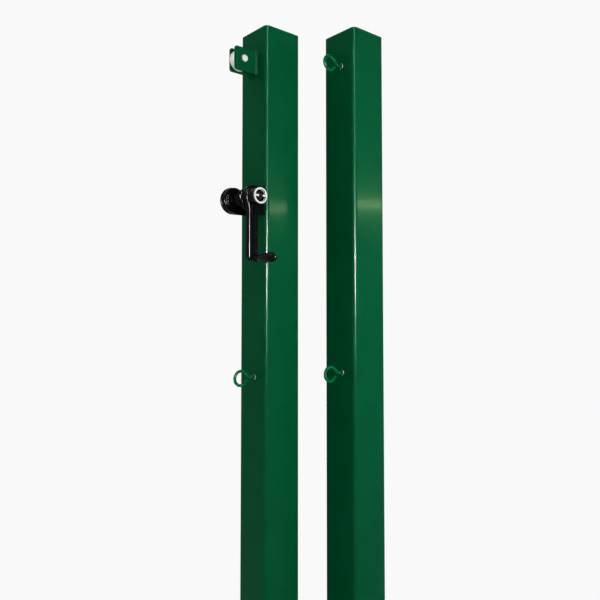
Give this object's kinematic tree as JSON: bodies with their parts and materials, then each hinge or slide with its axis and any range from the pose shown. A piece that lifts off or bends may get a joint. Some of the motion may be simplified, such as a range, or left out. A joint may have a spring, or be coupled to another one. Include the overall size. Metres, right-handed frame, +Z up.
{
  "type": "net posts with winch",
  "caption": "Pair of square dark green net posts with a cable wheel, a hand winch with a crank, and open eyes for the net's cords.",
  "frame": {"origin": "middle of the winch post's foot, on the plane that both posts stand on", "axes": "+Z up along the posts; -X is the face with the wheel, winch and eyes; the winch's axis and the crank's knob point along -Y"},
  "size_m": [0.3955, 0.268, 2.85],
  "materials": {
    "green_coat": "gloss",
    "black_coat": "gloss",
    "zinc": "satin",
    "bright_chrome": "mirror",
    "bronze": "satin",
    "white_nylon": "satin",
    "black_plastic": "gloss",
    "plug_plastic": "satin"
  },
  "bodies": {
    "posts": {"winch_post_tube": "green_coat", "winch_post_top_cap": "green_coat", "winch_post_foot_plug": "plug_plastic", "plain_post_tube": "green_coat", "plain_post_top_cap": "green_coat", "plain_post_foot_plug": "plug_plastic", "bracket_front_plate": "green_coat", "bracket_rear_plate": "green_coat", "wheel_axle_bolt": "zinc", "wheel_axle_collar": "green_coat", "wheel_axle_washer": "zinc", "wheel_axle_nut": "zinc", "wheel_side_washers": "zinc", "winch_post_eye": "green_coat", "plain_post_upper_eye": "green_coat", "plain_post_lower_eye": "green_coat", "eye_inserts": "zinc", "eye_lock_nuts": "green_coat", "winch_base_plate": "black_coat", "winch_near_plate": "black_coat", "winch_far_plate": "black_coat", "winch_near_bush": "bronze", "winch_far_bush": "bronze", "winch_bolts": "zinc", "winch_bolt_washers": "zinc", "winch_inserts": "zinc", "pawl_pin": "zinc"},
    "wheel": {"cable_wheel": "white_nylon", "cable_wheel_bush": "bronze"},
    "rotor": {"winch_shaft": "zinc", "winding_drum": "black_coat", "drum_key": "zinc", "cable_clamp_screw": "zinc", "ratchet_wheel": "zinc", "ratchet_screws": "zinc", "shaft_end_washer": "zinc", "shaft_end_ring": "zinc", "crank_arm": "black_coat", "crank_spacer": "zinc", "crank_washer": "zinc", "crank_nut": "zinc", "crank_end_ring": "bright_chrome", "knob_spindle": "zinc", "knob_washer": "zinc"},
    "knob": {"crank_knob": "black_plastic"},
    "pawl": {"ratchet_pawl": "zinc"}
  },
  "joints": [
    {"name": "wheel_spin", "type": "hinge", "parent": "posts", "child": "wheel", "pos_m": [-0.1045, 0, 2.756], "axis": [0, 1, 0], "continuous": true},
    {"name": "winch_spin", "type": "hinge", "parent": "posts", "child": "rotor", "pos_m": [-0.111, 0, 2.371], "axis": [0, 1, 0], "continuous": true},
    {"name": "knob_spin", "type": "hinge", "parent": "rotor", "child": "knob", "pos_m": [-0.111, -0.13, 2.21], "axis": [0, 1, 0], "continuous": true},
    {"name": "pawl_rock", "type": "hinge", "parent": "posts", "child": "pawl", "pos_m": [-0.0803, -0.0428, 2.3822], "axis": [0, 1, 0], "range_deg": [0, 25]}
  ]
}
